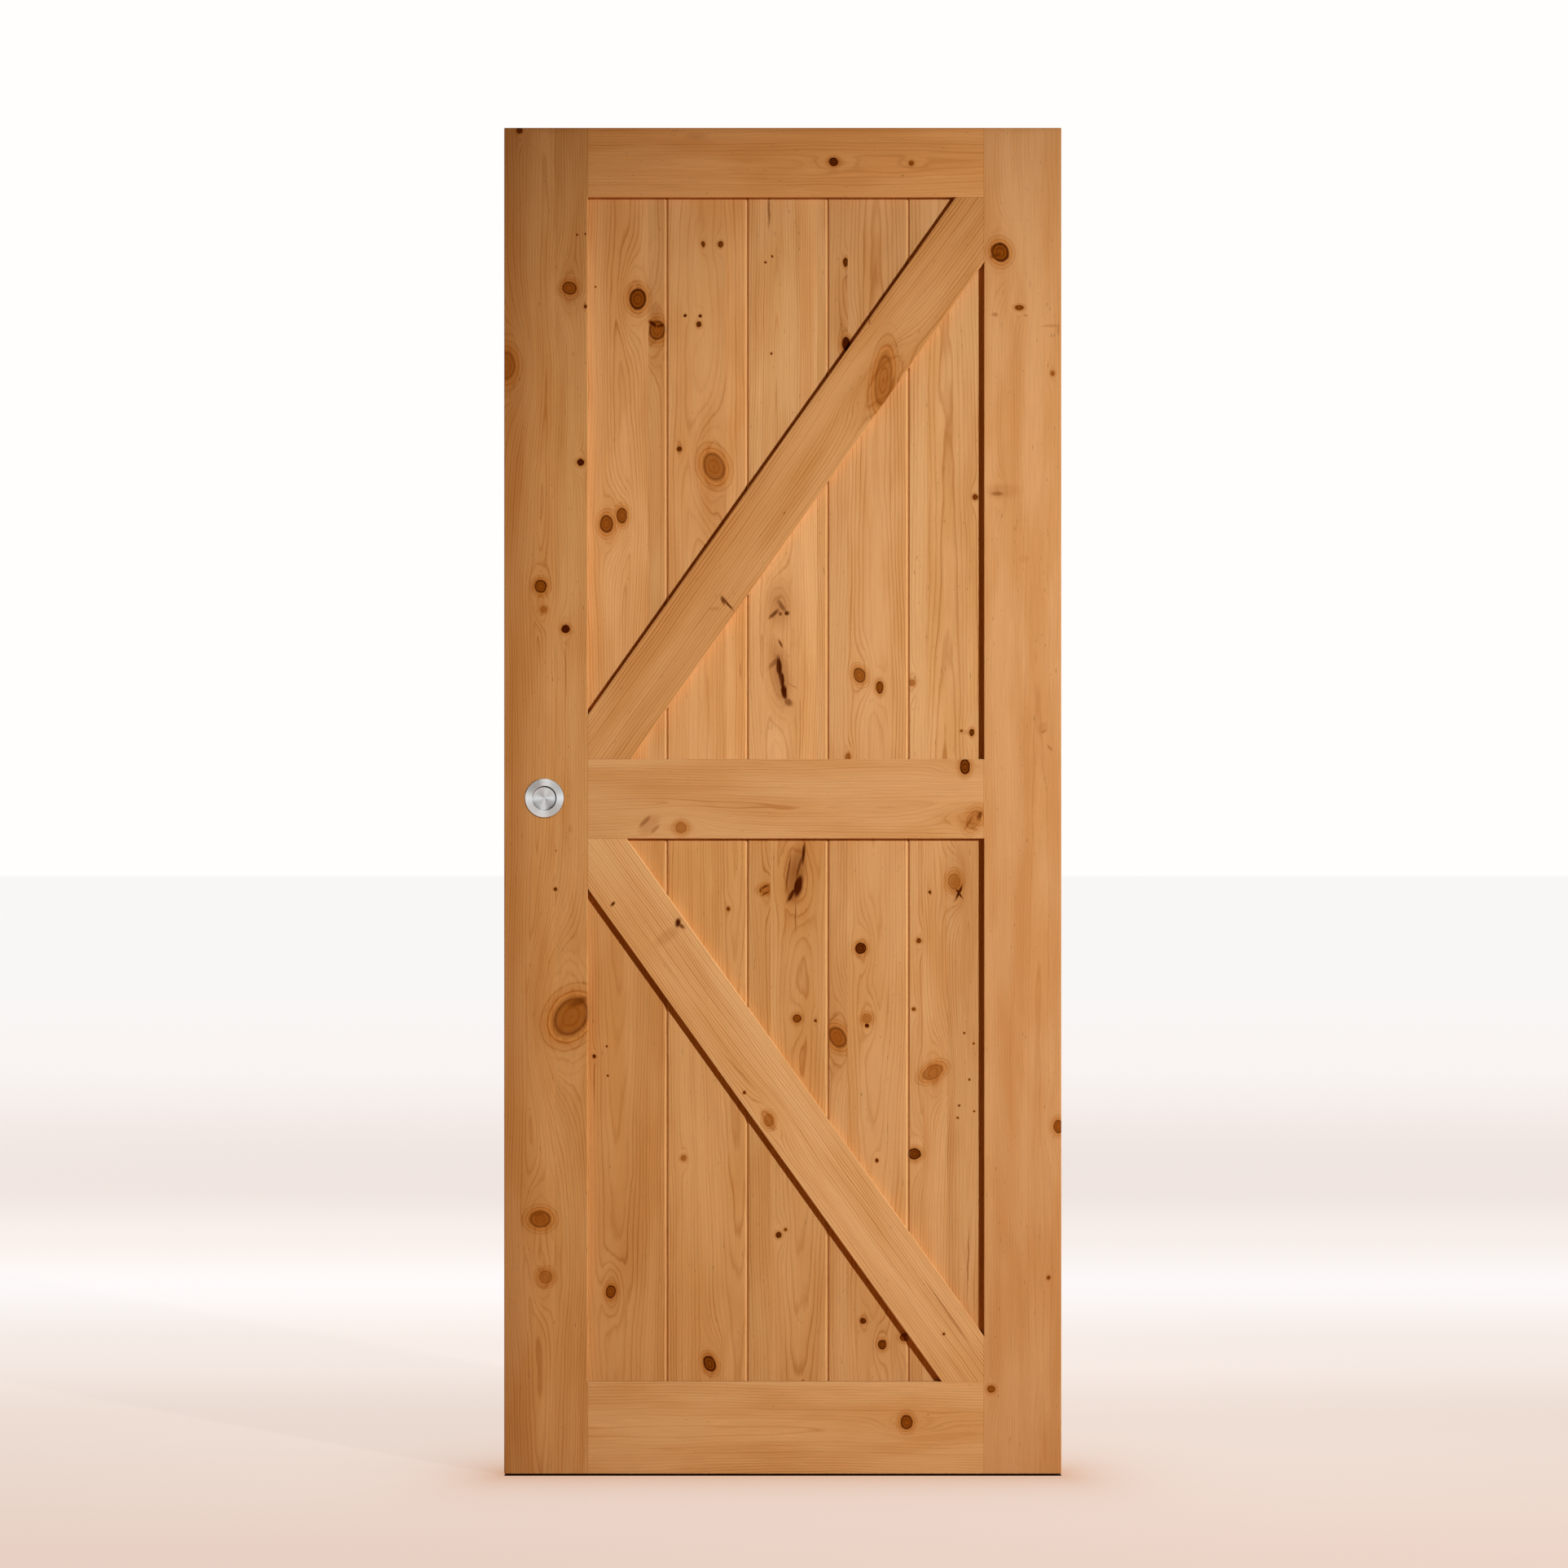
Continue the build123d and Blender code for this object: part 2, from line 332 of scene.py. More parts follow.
            (142, -318, 2, 6, 0.6), (179, -424, 3, 22, 0.55, 14), (-91, -780, 2.8, 20, 0.9, -38),
            (-98, -775, 4.6, 10, 0.85, -20), (-112, -789, 11, 4, 0.25),
        ),
        lines=1.3, joints="all",
    ),
    "lower_brace_front": Board(
        LOWER_BRACE_GRAIN, (1.07, 1.15, 1.22), -160, 20, 0.01, 4.6, 8, 65.5,
        knots=(dot(-63, -1583, 2.4, 0.8), (-23, -1628, 8, 10.7, 0.2), dot(264, -1978.5, 2, 0.8)),
        streaks=(
            (-279, -1273, 3.4, 6.5, 0.95, 45), (-172, -1304, 6, 10, 1.0, 15),
            (-167, -1309, 4, 10, 0.85, -55), (-190, -1326, 12, 30, 0.22, 55),
            (-70, -1550, 1.8, 44, 0.45, -41), (270, -1943, 2.0, 80, 0.5, -35),
        ),
        lines=1.3, joints="all",
    ),
    "upper_brace_back": Board(
        UPPER_BRACE_GRAIN, (0.94, 0.91, 0.84), 120, 18, 0.01, 4.6, 10, 69.7,
        knots=((-60, -690, 6, 8, 0.6), (204, -330, 4, 4, 0.4)),
        lines=1.3, joints="all",
    ),
    "lower_brace_back": Board(
        LOWER_BRACE_GRAIN, (1.07, 1.14, 1.22), 140, 18, 0.01, 4.8, 10, 73.2,
        knots=((90, -1740, 7, 7, 0.7), (-190, -1370, 3, 3, 0.6)),
        lines=1.3, joints="all",
    ),
}

FRAME_BOARDS = ("left_stile", "right_stile", "top_rail", "mid_rail", "bottom_rail")
PLANKS = tuple(name for name in BOARDS if "plank" in name)
BRACES = tuple(name for name in BOARDS if "brace" in name)
PULLS = ("pull_front", "pull_back")


class Graph:
    """Adds nodes to one node tree, in rows, and links them."""

    ROW = 12
    SPACING = (190, 260)

    def __init__(self, tree):
        self.tree = tree
        self.count = 0

    def add(self, kind, label="", **settings):
        node = self.tree.nodes.new(kind)
        row, column = divmod(self.count, self.ROW)
        node.location = (column * self.SPACING[0], -row * self.SPACING[1])
        self.count += 1
        node.label = label
        for name, value in settings.items():
            setattr(node, name, value)
        return node

    def feed(self, socket, value):
        if isinstance(value, bpy.types.NodeSocket):
            self.tree.links.new(value, socket)
        else:
            socket.default_value = value

    def feed_in_order(self, node, values):
        for socket, value in zip(node.inputs, values):
            self.feed(socket, value)

    def feed_by_name(self, node, **values):
        for name, value in values.items():
            self.feed(node.inputs[name.replace("_", " ")], value)

    def math(self, operation, *values, label="", clamp=False):
        node = self.add("ShaderNodeMath", label, operation=operation, use_clamp=clamp)
        self.feed_in_order(node, values)
        return node.outputs[0]

    def plus(self, *values, **options):
        return self.math("ADD", *values, **options)

    def minus(self, *values, **options):
        return self.math("SUBTRACT", *values, **options)

    def times(self, *values, **options):
        return self.math("MULTIPLY", *values, **options)

    def times_plus(self, value, factor, added, **options):
        return self.math("MULTIPLY_ADD", value, factor, added, **options)

    def vector(self, operation, *values, scale=None, label=""):
        node = self.add("ShaderNodeVectorMath", label, operation=operation)
        self.feed_in_order(node, values)
        if scale is not None:
            self.feed(node.inputs["Scale"], scale)
        number = operation in {"DOT_PRODUCT", "LENGTH"}
        return node.outputs["Value" if number else "Vector"]

    def split(self, vector):
        node = self.add("ShaderNodeSeparateXYZ")
        self.feed(node.inputs[0], vector)
        return node.outputs

    def join(self, *values):
        node = self.add("ShaderNodeCombineXYZ")
        self.feed_in_order(node, values)
        return node.outputs[0]

    def mapping(self, kind, **values):
        node = self.add("ShaderNodeMapping", vector_type=kind)
        self.feed_by_name(node, **values)
        return node.outputs[0]

    def noise(self, place, detail, roughness, label):
        node = self.add("ShaderNodeTexNoise", label, noise_dimensions="3D")
        self.feed_by_name(node, Vector=place, Scale=1.0, Detail=detail, Roughness=roughness)
        return node.outputs

    def ramp(self, value, low, high, start=0.0, end=1.0, label=""):
        """Smooth change from start to end while the value goes from low to high."""
        node = self.add("ShaderNodeMapRange", label, interpolation_type="SMOOTHSTEP")
        self.feed_in_order(node, (value, low, high, start, end))
        return node.outputs[0]

    def color_ramp(self, value, interpolation, stops, label):
        """Goes through the colours of these stops while the value goes from 0 to 1."""
        node = self.add("ShaderNodeValToRGB", label)
        node.color_ramp.interpolation = interpolation
        elements = node.color_ramp.elements
        for element, stop in zip(elements, (stops[0], stops[-1])):
            element.position, element.color = stop
        for position, color in stops[1:-1]:
            elements.new(position).color = color
        self.feed(node.inputs[0], value)
        return node.outputs[0]

    def mix(self, factor, first, second, blend="MIX"):
        node = self.add("ShaderNodeMix", data_type="RGBA", blend_type=blend)
        for index, value in ((0, factor), (6, first), (7, second)):
            self.feed(node.inputs[index], value)
        return node.outputs[2]

    def tinted(self, color, tint):
        return self.mix(1.0, color, tint, "MULTIPLY")

    def mix_shaders(self, factor, first, second):
        node = self.add("ShaderNodeMixShader")
        self.feed_in_order(node, (factor, first, second))
        return node.outputs[0]

    def bump(self, height, strength, distance):
        node = self.add("ShaderNodeBump")
        self.feed_by_name(node, Height=height, Strength=strength, Distance=distance)
        return node.outputs[0]

    def group(self, name, **values):
        node = self.add("ShaderNodeGroup", node_tree=shared(name))
        self.feed_by_name(node, **values)
        return node.outputs


SOCKETS = {1: "NodeSocketFloat", 3: "NodeSocketVector", 4: "NodeSocketColor"}
WIDE_OUTPUTS = {"Color": 4, "Place": 3, "Uneven Place": 3}


def new_group(name, outputs, **inputs):
    """Returns a new shader group, its Graph, its input sockets and its output node's."""
    tree = bpy.data.node_groups.new(name, "ShaderNodeTree")
    for label, default in inputs.items():
        kind = SOCKETS[len(default) if isinstance(default, tuple) else 1]
        label = label.replace("_", " ")
        socket = tree.interface.new_socket(label, in_out="INPUT", socket_type=kind)
        socket.default_value = default
    for label in outputs:
        kind = SOCKETS[WIDE_OUTPUTS.get(label, 1)]
        tree.interface.new_socket(label, in_out="OUTPUT", socket_type=kind)
    graph = Graph(tree)
    entry = graph.add("NodeGroupInput")
    return tree, graph, entry.outputs, graph.add("NodeGroupOutput").inputs


def own_distance(g, given):
    """Distance from a mark's centre, where 1 is its outline."""
    fitted = g.mapping(
        "TEXTURE", Vector=given["Place"], Location=given["Centre"], Rotation=given["Turn"],
        Scale=given["Size"],
    )
    return g.vector("LENGTH", fitted)


def make_knot_group():
    """A knot: how far away it is in its own sizes, and how the grain swerves round it."""
    tree, g, given, out = new_group(
        "Knot in the grain", ("Shift", "Lift", "Nearness", "Tone"), Place=ORIGIN, Shift=0.0,
        Lift=0.0, Nearness=NO_KNOT, Tone=0.0, Centre=ORIGIN, Turn=ORIGIN, Size=(10, 10, 10),
        Reach=10.0, Swirl=1.0, Darkness=0.5, Low_Edge=-BEYOND, High_Edge=BEYOND,
    )
    across = g.split(given["Place"])[0]
    below = g.math("LESS_THAN", across, given["Low Edge"])
    above = g.math("GREATER_THAN", across, given["High Edge"])
    beyond = g.plus(below, above, label="Beyond the strip", clamp=True)
    far = g.times_plus(beyond, 10 * NO_KNOT, own_distance(g, given))
    nearer = g.math("LESS_THAN", far, given["Nearness"])
    change = g.minus(given["Darkness"], given["Tone"])
    g.feed(out["Tone"], g.times_plus(nearer, change, given["Tone"]))
    g.feed(out["Nearness"], g.math("MINIMUM", far, given["Nearness"]))

    offset = g.vector("SUBTRACT", given["Place"], given["Centre"])
    relative = g.vector("SCALE", offset, scale=g.math("DIVIDE", 1.0, given["Reach"]))
    spread = g.vector("MULTIPLY", relative, SWERVE_SHAPE)
    distance = g.vector("DOT_PRODUCT", spread, spread, label="Squared distance")
    held = g.math("MAXIMUM", distance, 1.0)
    inside = g.minus(1.0, beyond)
    amount = g.times(given["Swirl"], inside, clamp=True)
    swerve = g.math("DIVIDE", g.times(g.split(offset)[0], amount), held)
    g.feed(out["Shift"], g.minus(given["Shift"], swerve))
    fade = g.math("EXPONENT", g.times(distance, LIFT_FADE))
    rise = g.times(fade, g.times(given["Reach"], given["Swirl"]))
    g.feed(out["Lift"], g.times_plus(rise, inside, given["Lift"]))
    return tree


def make_streak_group():
    """A long band that fades towards its edges and its ends: stains and cracks, and some bands of
    painted shade.
    """
    tree, g, given, out = new_group(
        "Streak in the grain", ("Stain",), Place=ORIGIN, Stain=0.0, Centre=ORIGIN, Turn=ORIGIN,
        Size=(10, 10, 10), Darkness=0.5,
    )
    inside = g.ramp(own_distance(g, given), 1.15, 0.35)
    stain_and_shade = g.times(inside, given["Darkness"])
    g.feed(out["Stain"], g.math("MAXIMUM", given["Stain"], stain_and_shade))
    return tree


def make_strip_group():
    """Changes the seed and the tone past a glue line."""
    tree, g, given, out = new_group(
        "Glued strip", ("Seed", "Tone"), Across=0.0, Seed=0.0, Tone=1.0, Edge=0.0, Seed_Step=1.0,
        Tone_Step=0.0,
    )
    past = g.math("GREATER_THAN", given["Across"], given["Edge"])
    for key in ("Seed", "Tone"):
        g.feed(out[key], g.times_plus(past, given[key + " Step"], given[key]))
    return tree


def make_warp_group():
    """Turns the board's coordinates along its grain, in millimetres, and roughens them."""
    tree, g, given, out = new_group(
        "Along the grain", ("Place", "Uneven Place"), Object=ORIGIN, Turn=ORIGIN, Seed=0.0,
    )
    place = g.mapping("POINT", Vector=given["Object"], Rotation=given["Turn"], Scale=(MM,) * 3)
    finer = g.vector("MULTIPLY", place, OUTLINE)
    seeded = g.vector("ADD", finer, g.join(given["Seed"]))
    soft = g.noise(seeded, 2.0, 0.6, "Uneven outline")["Color"]
    soft = g.vector("SUBTRACT", soft, (0.5, 0.5, 0.5))
    g.feed(out["Place"], place)
    g.feed(out["Uneven Place"], g.vector("MULTIPLY_ADD", soft, (3.4, 0.0, 3.4), place))
    return tree


def uneven(g, given, seeded, scale, detail, roughness, label):
    """Noise of this scale in the grain, different for each seed."""
    at = g.vector("MULTIPLY_ADD", given["Place"], scale, seeded)
    return g.noise(at, detail, roughness, label)


def years(g, given, seeded):
    """Growth rings counted from the pith, which swerve round the knots."""
    u, v, w = g.split(given["Place"])
    wander = uneven(g, given, seeded, WANDER, 1.0, 0.5, "Wander of the grain")["Color"]
    wander = g.vector("SUBTRACT", wander, (0.5, 0.5, 0.5))
    wander = g.split(g.vector("SCALE", wander, scale=given["Wander"]))
    wobble = uneven(g, given, seeded, WOBBLE, 2.0, 0.5, "Wobble of the rings")["Fac"]
    wobble = g.times_plus(wobble, 7.0, -3.5)

    side = g.minus(g.plus(u, given["Shift"]), given["Pith"])
    side = g.plus(side, wander[0])
    below = g.times_plus(w, given["Taper"], g.plus(v, given["Depth"]))
    below = g.plus(below, wander[1])
    radius = g.vector("LENGTH", g.join(side, below), label="Distance from the pith")
    radius = g.plus(g.plus(radius, wobble), given["Lift"])
    rings = g.math("DIVIDE", radius, given["Ring Spacing"])
    return g.plus(rings, g.times(given["Seed"], 3.7))


def late_wood_lines(g, rings):
    """The dark line at the end of each year, some years stronger than others."""
    black, white = (0, 0, 0, 1), (1, 1, 1, 1)
    late = g.color_ramp(
        g.math("FRACT", rings), "B_SPLINE",
        ((0.42, black), (0.66, (0.12, 0.12, 0.12, 1)), (0.82, white), (0.90, white), (1.0, black)),
        "Late wood in each ring",
    )
    lot = g.add("ShaderNodeTexWhiteNoise", "Each year differs", noise_dimensions="1D")
    g.feed(lot.inputs["W"], g.math("FLOOR", rings))
    return g.times(late, g.times_plus(lot.outputs["Value"], 0.9, 0.25))


def knot_color(g, given, near, tone, fibre):
    """Colour inside a knot, from red brown to nearly black at its rim, cracks and heart."""
    rings = g.math("SINE", g.times_plus(near, KNOT_RINGS, g.times(fibre, 3.0)))
    rim = g.ramp(g.math("ABSOLUTE", g.minus(near, RIM_AT)), 0.16, 0.03)
    rim = g.times(rim, g.times_plus(tone, 0.30, 0.24))
    paler = g.minus(1.0, tone, clamp=True)
    heart = g.times(g.ramp(near, 0.18, 0.05), paler)
    open_heart = g.times(g.ramp(near, 0.85, 0.35), paler)
    shade = g.times_plus(g.times(tone, tone), 1.25, 0.02)
    shade = g.times_plus(rings, 0.20, shade)
    shade = g.times_plus(g.minus(fibre, 0.5), 0.8, shade)
    shade = g.times_plus(heart, -0.3, shade)
    shade = g.times_plus(open_heart, -0.35, shade)
    shade = g.plus(rim, shade, clamp=True)
    return g.mix(shade, given["Knot Wood"], given["Knot Rim"])


def make_timber_group():
    """Pine: growth rings cut by the board, broad tone, fibres, flecks, knots, stains and painted
    shade bands.
    """
    tree, g, given, out = new_group(
        "Pine timber", ("Color", "Roughness", "Height"), Place=ORIGIN, Shift=0.0, Lift=0.0,
        Nearness=NO_KNOT, Tone=0.5, Stain=0.0, Seed=0.0, Strip_Tone=1.0, Pith=0.0, Depth=30.0,
        Taper=0.015, Ring_Spacing=4.5, Wander=15.0, Line_Strength=1.0, Wood=(0.6, 0.3, 0.12, 1),
        Late_Wood=(0.8, 0.66, 0.5, 1), Knot_Wood=(0.3, 0.1, 0.03, 1),
        Knot_Rim=(0.07, 0.02, 0.01, 1),
    )
    seeded = g.vector("SCALE", g.join(1.0, 0.37, 0.73), scale=given["Seed"])
    rings = years(g, given, seeded)
    patch = uneven(g, given, seeded, BLOTCHES, 2.0, 0.5, "Blotches")
    fibre = uneven(g, given, seeded, FIBRES, 2.0, 0.6, "Fibres")["Fac"]
    fleck = uneven(g, given, seeded, FLECKS, 1.0, 0.5, "Flecks")["Fac"]
    fleck = g.ramp(fleck, 0.74, 0.80)
    along = g.times(g.split(given["Place"])[2], 0.002)
    band_at = g.join(g.times(rings, 0.23), along, given["Seed"])
    band = g.noise(band_at, 1.0, 0.5, "Groups of years")["Fac"]

    near, tone = given["Nearness"], given["Tone"]
    drawn = g.ramp(tone, -0.15, 0.05, label="Not where only the grain swerves")
    onion = g.times_plus(fibre, 1.6, g.times(near, KNOT_RINGS))
    onion = g.ramp(g.math("SINE", onion), 0.35, 1.0, label="Rings round the knot")
    onion = g.times(onion, g.times(g.ramp(near, 2.4, 1.2), drawn))
    line = g.times(late_wood_lines(g, rings), g.ramp(patch["Fac"], 0.25, 0.75, 0.45, 1.0))
    line = g.times(line, given["Line Strength"])
    line = g.times_plus(onion, 0.75, line, clamp=True)
    color = g.mix(line, given["Wood"], g.tinted(given["Wood"], given["Late Wood"]))
    broad = g.ramp(band, 0.35, 0.70)
    color = g.mix(broad, color, g.tinted(color, DENSE_YEARS))
    warm = g.ramp(g.split(patch["Color"])[0], 0.38, 0.66)
    color = g.mix(warm, color, g.tinted(color, WARM_BLOTCHES))
    light = g.times_plus(fibre, 0.34, 0.83)
    light = g.times(light, given["Strip Tone"])
    light = g.times(light, g.times_plus(fleck, -0.5, 1.0))
    color = g.vector("SCALE", color, scale=light)

    pale = g.math("ABSOLUTE", g.minus(near, PALE_RING_AT))
    pale = g.times(g.ramp(pale, 0.12, 0.02, label="Pale ring"), drawn)
    color = g.vector("SCALE", color, scale=g.times_plus(pale, 0.16, 1.0))
    halo = g.times(g.ramp(near, 2.1, 0.95, 0.0, 0.8), drawn)
    halo = g.plus(halo, g.ramp(given["Lift"], 4.0, 18.0, 0.0, 0.28), clamp=True)
    color = g.mix(halo, color, g.tinted(color, KNOT_HALO))
    cover = g.times_plus(tone, 1.3, 0.30)
    cover = g.times(g.ramp(near, 1.20, 0.84, label="Body of the knot"), cover, clamp=True)
    color = g.mix(cover, color, knot_color(g, given, near, tone, fibre))
    stain_and_shade = g.times(given["Stain"], g.times_plus(fibre, 0.6, 0.72), clamp=True)
    deep = g.mix(g.times(stain_and_shade, stain_and_shade), given["Knot Wood"], given["Knot Rim"])
    g.feed(out["Color"], g.mix(stain_and_shade, color, deep))

    rough = g.times_plus(fibre, 0.10, 0.46)
    rough = g.times_plus(line, 0.06, rough)
    g.feed(out["Roughness"], g.times_plus(cover, -0.06, rough))
    g.feed(out["Height"], g.times_plus(fleck, -0.6, fibre))
    return tree


def inward(g, given):
    """How far inside its box a point lies, measured on the face."""
    offset = g.vector("ABSOLUTE", g.vector("SUBTRACT", given["Object"], given["Centre"]))
    left = g.split(g.vector("SUBTRACT", given["Half Size"], offset))
    return g.math("MINIMUM", left[0], left[2])


def make_joint_group():
    """A fine dark line along the edges of a box, where a board meets its neighbours."""
    tree, g, given, out = new_group(
        "Joint line", ("Line",), Object=ORIGIN, Centre=ORIGIN, Half_Size=(1, 1, 1), Width=0.001,
    )
    g.feed(out["Line"], g.ramp(inward(g, given), given["Width"], 0.0))
    return tree


def make_rim_group():
    """The shadow that a disc leaves round its edge on the board it lies on."""
    tree, g, given, out = new_group(
        "Rim shadow", ("Line",), Object=ORIGIN, Centre=ORIGIN, Radius=0.03, Width=0.001,
    )
    offset = g.vector("SUBTRACT", given["Object"], given["Centre"])
    radius = g.vector("LENGTH", g.vector("MULTIPLY", offset, ON_FACE))
    beyond = g.minus(radius, given["Radius"])
    g.feed(out["Line"], g.ramp(beyond, given["Width"], 0.0))
    return tree


def make_edge_group():
    """Where a board's edge falls away from its face: a painted highlight makes it paler, partly
    also paleness from sanding.
    """
    tree, g, given, out = new_group(
        "Sanded and highlit edge", ("Edge",), Object=ORIGIN, Face=0.022, Fall=0.002, Centre=ORIGIN,
        Half_Size=(1, 1, 1),
    )
    depth = g.math("ABSOLUTE", g.split(given["Object"])[1])
    within = g.math("GREATER_THAN", inward(g, given), 0.003, label="Not the outer edges")
    fallen = g.math("DIVIDE", g.minus(given["Face"], depth), given["Fall"])
    edge = g.times(g.ramp(fallen, 0.02, 0.12), g.ramp(fallen, 1.15, 1.02))
    g.feed(out["Edge"], g.times(edge, within))
    return tree


CUP_RADIUS = 0.0199  # just inside the wall of the pull's cup
SHADE_SHIFT = (0.0011, 0.0, 0.0008)  # moves the lit part of the cup's floor to the left and down


def make_brush_group():
    """Steel brushed in circles round the centre of a disc: fine rings, smears and marks, and a
    painted shadow crescent just inside the cup's wall.
    """
    tree, g, given, out = new_group(
        "Turned brushing", ("Tone", "Roughness", "Height", "Corner"), Object=ORIGIN,
        Centre=ORIGIN, Pitch=0.00025,
    )
    offset = g.vector("SUBTRACT", given["Object"], given["Centre"])
    flat = g.vector("MULTIPLY", offset, ON_FACE)
    radius = g.vector("LENGTH", flat)
    right, _, up = g.split(offset)
    angle = g.math("ARCTAN2", up, right)
    sine, cosine = g.math("SINE", angle), g.math("COSINE", angle)
    ring = g.math("DIVIDE", radius, given["Pitch"])
    fine_at = g.join(ring, g.times(sine, 1.3), g.times(cosine, 1.3))
    fine = g.noise(fine_at, 2.0, 0.7, "Brush lines")["Fac"]
    smear = g.noise(g.join(g.times(radius, 300.0), sine, cosine), 2.0, 0.5, "Smears")["Fac"]
    g.feed(out["Tone"], g.times_plus(fine, 0.24, g.times_plus(smear, 0.10, 0.83)))
    g.feed(out["Roughness"], g.times_plus(fine, 0.10, g.times_plus(smear, 0.08, 0.23)))
    # painted shadow: a dark crescent on the cup's floor along its wall, on the right and at the
    # top
    aside = g.vector("LENGTH", g.vector("ADD", flat, SHADE_SHIFT), label="From a point beside it")
    sunk = g.math("LESS_THAN", radius, CUP_RADIUS)
    g.feed(out["Corner"], g.times(sunk, g.ramp(aside, 0.0181, 0.0190)))
    g.feed(out["Height"], fine)
    return tree


GROUPS = {
    "knot": make_knot_group,
    "streak": make_streak_group,
    "strip": make_strip_group,
    "warp": make_warp_group,
    "timber": make_timber_group,
    "joint": make_joint_group,
    "rim": make_rim_group,
    "edge": make_edge_group,
    "brush": make_brush_group,
}
made_groups = {}


def shared(name):
    """The shader group of this kind, made the first time that it is asked for."""
    if name not in made_groups:
        made_groups[name] = GROUPS[name]()
    return made_groups[name]


def emptied(block):
    """The Graph of a new material or world, without the nodes that it comes with."""
    block.use_nodes = True
    block.node_tree.nodes.clear()
    return Graph(block.node_tree)


def new_material(name):
    """A fresh material with a Principled shader. Returns it, its Graph and the shader."""
    material = bpy.data.materials.new(name)
    graph = emptied(material)
    shader = graph.add("ShaderNodeBsdfPrincipled")
    output = graph.add("ShaderNodeOutputMaterial")
    graph.feed(output.inputs["Surface"], shader.outputs[0])
    return material, graph, shader


def along_grain(angle, x, z):
    """Across and along the grain, from right and up."""
    s, c = math.sin(math.radians(angle)), math.cos(math.radians(angle))
    return x * s - z * c, x * c + z * s


def mark_place(board, mark, deeper):
    """Centre, turn and size of a mark in its board's grain.

    A mark that lies deeper than the frame is seen straight from EYE_HEIGHT.
    """
    seen_height = EYE_HEIGHT + (mark.z - EYE_HEIGHT) * deeper
    across, along = along_grain(board.grain, mark.x * deeper, seen_height)
    lean = math.radians(mark.lean)
    tall_across, tall_along = along_grain(board.grain, math.sin(lean), math.cos(lean))
    return {
        "Centre": (across, 0.0, along),
        "Turn": (0.0, math.atan2(tall_across, tall_along), 0.0),
        "Size": (mark.wide, THROUGH, mark.tall),
    }


def add_knots(g, board, place, deeper):
    """Chains the board's knots. Returns what the last one puts out."""
    marks = {"Shift": 0.0, "Lift": 0.0, "Nearness": NO_KNOT, "Tone": 0.5}
    for knot in (Knot(*mark) for mark in board.knots):
        made = g.group(
            "knot",
            Place=place,
            Reach=1.15 * min(knot.wide, knot.tall) + 0.15 * max(knot.wide, knot.tall),
            Swirl=knot.swirl,
            Darkness=knot.dark,
            Low_Edge=knot.left,
            High_Edge=knot.right,
            **mark_place(board, knot, deeper),
            **marks,
        )
        marks = {key: made[key] for key in marks}
    return marks


def add_streaks(g, board, place, deeper):
    """Chains the board's stains, cracks and painted shade bands. Returns the darkest."""
    stain_and_shade = 0.0
    for streak in (Streak(*mark) for mark in board.streaks):
        where = mark_place(board, streak, deeper)
        made = g.group("streak", Place=place, Stain=stain_and_shade, Darkness=streak.dark, **where)
        stain_and_shade = made["Stain"]
    return stain_and_shade


def add_strips(g, board, place):
    """Chains the board's glued strips. Returns the seed and tone of the figure."""
    figure = {"Seed": board.seed, "Tone": 1.0}
    last = 1.0
    for strip in (Strip(*glued) for glued in board.strips):
        made = g.group(
            "strip", Across=g.split(place)[0], Edge=strip.place, Seed_Step=strip.turn,
            Tone_Step=strip.tone - last, **figure,
        )
        figure = {key: made[key] for key in figure}
        last = strip.tone
    return figure


VEE_LEG = 0.0032  # depth of the chamfers of the planks
EASED_EDGE = 0.0015  # rounding of the other boards
RIM_SHADOW_SHIFT = Vector((-0.0003, 0, -0.0005))  # it falls to the left and down


def add_outlines(g, name, board, wood, coordinates, color):
    """Edges made paler by a painted highlight, partly by sanding, dark lines at butt joints, and a
    painted shadow round the pulls.
    """
    low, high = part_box(name)
    middle, half = (cad_box[0] + cad_box[1]) / 2, (cad_box[1] - cad_box[0]) / 2
    fall, strength = (VEE_LEG, 1.0) if name in PLANKS else (EASED_EDGE, 0.5)
    edge = g.group(
        "edge", Object=coordinates, Face=max(abs(low.y), abs(high.y)), Fall=fall,
        Centre=tuple(middle), Half_Size=tuple(half),
    )["Edge"]
    # painted highlight on the eased edges and the planks' chamfers, partly paleness from sanding
    paler = g.times(edge, wood.sanded_and_highlit_edge * strength)
    color = g.mix(paler, color, (*wood.sanded_and_highlit_wood, 1.0))
    if board.joints:
        centre, half = (low + high) / 2, (high - low) / 2
        if board.joints == "ends":
            left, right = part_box("upper_brace_front")
            centre.x = (left.x + right.x) / 2
            half.x = (right.x - left.x) / 2
            half.z = 10.0  # far past the board, so that only its ends have a line
        line = g.group(
            "joint", Object=coordinates, Centre=tuple(centre), Half_Size=tuple(half),
            Width=wood.joint_line,
        )["Line"]
        color = g.mix(g.times(line, 0.6), color, (*wood.knot_wood, 1.0))
    pull_low, pull_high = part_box("pull_front")
    if low.x < pull_low.x and pull_high.x < high.x:
        rim = g.group(
            "rim",
            Object=coordinates,
            Centre=tuple((pull_low + pull_high) / 2 + RIM_SHADOW_SHIFT),
            Radius=(pull_high.x - pull_low.x) / 2,
            Width=wood.joint_line * 1.6,
        )["Line"]
        # painted shadow round the pull, in the colour of a knot's rim
        color = g.mix(g.times(rim, 0.75), color, (*wood.knot_rim, 1.0))
    return color


